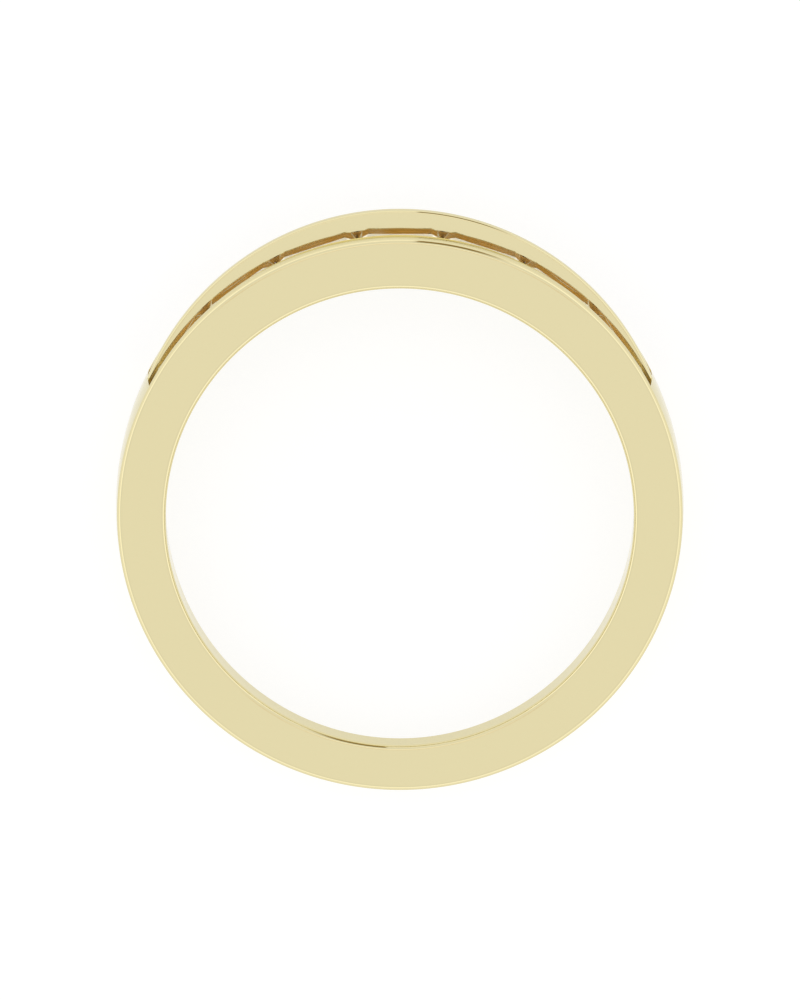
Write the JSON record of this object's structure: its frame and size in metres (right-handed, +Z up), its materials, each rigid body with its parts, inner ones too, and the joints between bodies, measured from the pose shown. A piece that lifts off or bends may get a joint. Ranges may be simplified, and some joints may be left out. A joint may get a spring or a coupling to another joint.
{
  "type": "channel-set openwork ring",
  "caption": "Finger ring lying on its side: a tapered gold band with a raised centre arch between two channels of baguette stones over open light slots.",
  "frame": {"origin": "point where the finger axis meets the side face that the ring lies on", "axes": "+Z up from the surface that the ring lies on, +Y towards the middle of the head, +X to the right when the ring is seen from above with its head away from the viewer. The finger axis leans back from +Z towards -Y by 6 degrees, because the band tapers away from its head"},
  "size_m": [0.021, 0.0215, 0.0062],
  "materials": {
    "gold": "polished pale yellow gold",
    "stone": "polished colourless step-cut stone"
  },
  "bodies": {
    "root": {"band": "gold", "upper_stone_1": "stone", "upper_stone_2": "stone", "upper_stone_3": "stone", "upper_stone_4": "stone", "upper_stone_5": "stone", "upper_stone_6": "stone", "upper_stone_7": "stone", "lower_stone_1": "stone", "lower_stone_2": "stone", "lower_stone_3": "stone", "lower_stone_4": "stone", "lower_stone_5": "stone", "lower_stone_6": "stone", "lower_stone_7": "stone"}
  },
  "joints": []
}
